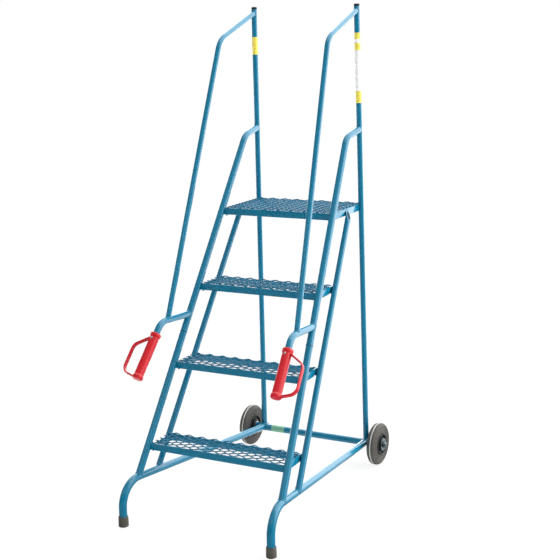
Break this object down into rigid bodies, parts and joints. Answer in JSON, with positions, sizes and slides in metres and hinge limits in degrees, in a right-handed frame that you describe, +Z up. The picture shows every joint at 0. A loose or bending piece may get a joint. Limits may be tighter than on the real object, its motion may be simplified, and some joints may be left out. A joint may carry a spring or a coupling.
{
  "type": "mobile ladder stand",
  "caption": "Free-standing steel step stand with expanded metal treads, a platform, handrails, red hand grips with guards and rear wheels.",
  "frame": {"origin": "middle of the footprint's bounding box, on the floor", "axes": "+X to the climber's right, +Y the way the climber faces going up, +Z up"},
  "size_m": [0.676, 0.9865, 1.747],
  "materials": {
    "blue_paint": "gloss powder coat",
    "red_plastic": "satin moulded",
    "black_plastic": "moulded",
    "tyre_rubber": "matt",
    "grey_rubber": "matt",
    "bright_zinc": "bright zinc plate"
  },
  "bodies": {
    "frame": {"axle_boss_left": "blue_paint", "axle_boss_right": "blue_paint", "axle_left": "bright_zinc", "axle_nuts": "bright_zinc", "axle_right": "bright_zinc", "base_end_plugs": "black_plastic", "base_tube_left": "blue_paint", "base_tube_right": "blue_paint", "bottom_tread_deck": "blue_paint", "bottom_tread_front_bar": "blue_paint", "bottom_tread_rear_bar": "blue_paint", "bottom_tread_side_bars": "blue_paint", "foot_ferrule_left": "grey_rubber", "foot_ferrule_right": "grey_rubber", "front_stile_left": "blue_paint", "front_stile_right": "blue_paint", "grip_left": "red_plastic", "grip_right": "red_plastic", "grip_screws": "bright_zinc", "handle_tube_left": "blue_paint", "handle_tube_right": "blue_paint", "handrail_left": "blue_paint", "handrail_right": "blue_paint", "inner_washers": "bright_zinc", "middle_tread_deck": "blue_paint", "middle_tread_front_bar": "blue_paint", "middle_tread_rear_bar": "blue_paint", "middle_tread_side_bars": "blue_paint", "outer_washers": "bright_zinc", "platform_deck": "blue_paint", "platform_front_bar": "blue_paint", "platform_rear_bar": "blue_paint", "platform_side_bars": "blue_paint", "post_plug_left": "black_plastic", "post_plug_right": "black_plastic", "rear_cross_tube": "blue_paint", "rear_post_left": "blue_paint", "rear_post_right": "blue_paint", "rear_stile_left": "blue_paint", "rear_stile_right": "blue_paint", "top_tread_deck": "blue_paint", "top_tread_front_bar": "blue_paint", "top_tread_rear_bar": "blue_paint", "top_tread_side_bars": "blue_paint"},
    "left_wheel": {"tyre_left": "tyre_rubber", "hub_left": "black_plastic", "hub_bush_left": "bright_zinc"},
    "right_wheel": {"tyre_right": "tyre_rubber", "hub_right": "black_plastic", "hub_bush_right": "bright_zinc"}
  },
  "joints": [
    {"name": "left_wheel_spin", "type": "hinge", "parent": "frame", "child": "left_wheel", "pos_m": [-0.278, 0.41325, 0.08], "axis": [1, 0, 0], "continuous": true},
    {"name": "right_wheel_spin", "type": "hinge", "parent": "frame", "child": "right_wheel", "pos_m": [0.278, 0.41325, 0.08], "axis": [1, 0, 0], "continuous": true}
  ]
}
